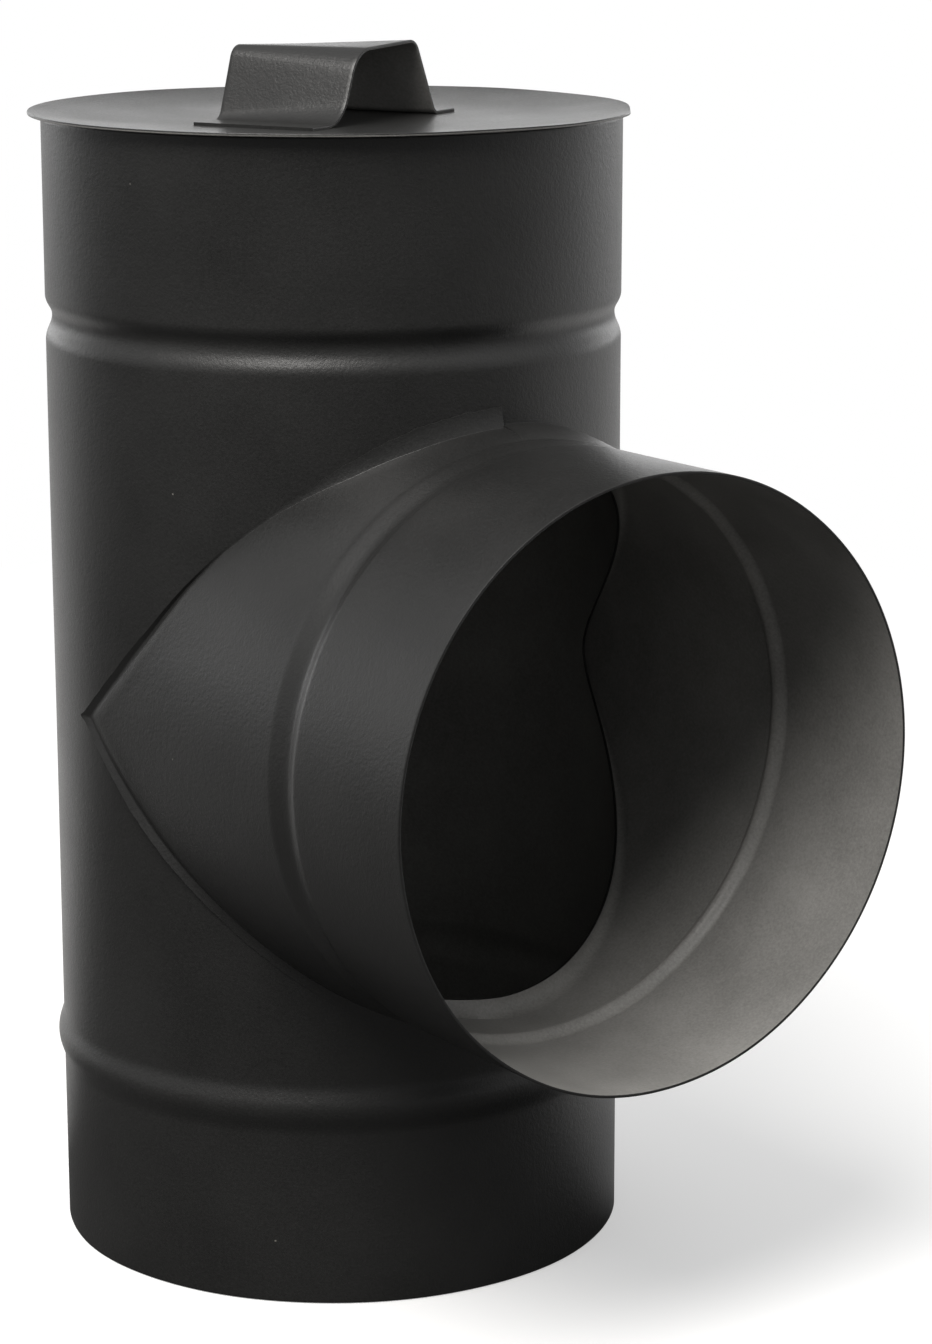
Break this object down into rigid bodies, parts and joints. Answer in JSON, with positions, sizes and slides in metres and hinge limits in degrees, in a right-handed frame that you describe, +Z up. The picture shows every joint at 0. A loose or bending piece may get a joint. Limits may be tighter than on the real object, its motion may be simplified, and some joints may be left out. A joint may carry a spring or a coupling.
{
  "type": "flue tee with cap",
  "caption": "Upright stove-pipe tee of thin black sheet steel: beaded base spigot, grooved side socket, and a lift-off cap with a strap handle plugged in the top.",
  "frame": {"origin": "centre of the base opening, in the plane of the base edge that the part stands on", "axes": "+Z up along the upright pipe, +X out along the branch towards its open end"},
  "size_m": [0.2222, 0.1584, 0.3194],
  "materials": {
    "pipe_paint": "matte black stove paint with a fine grain",
    "cap_paint": "matte black stove paint with a fine grain"
  },
  "bodies": {
    "tee": {"main_pipe": "pipe_paint", "branch_pipe": "pipe_paint"},
    "cap": {"lid_plate": "cap_paint", "lid_collar": "cap_paint", "lid_handle": "cap_paint"}
  },
  "joints": [
    {"name": "cap_lift", "type": "slide", "parent": "tee", "child": "cap", "axis": [0, 0, 1], "range_m": [0, 0.06]}
  ]
}
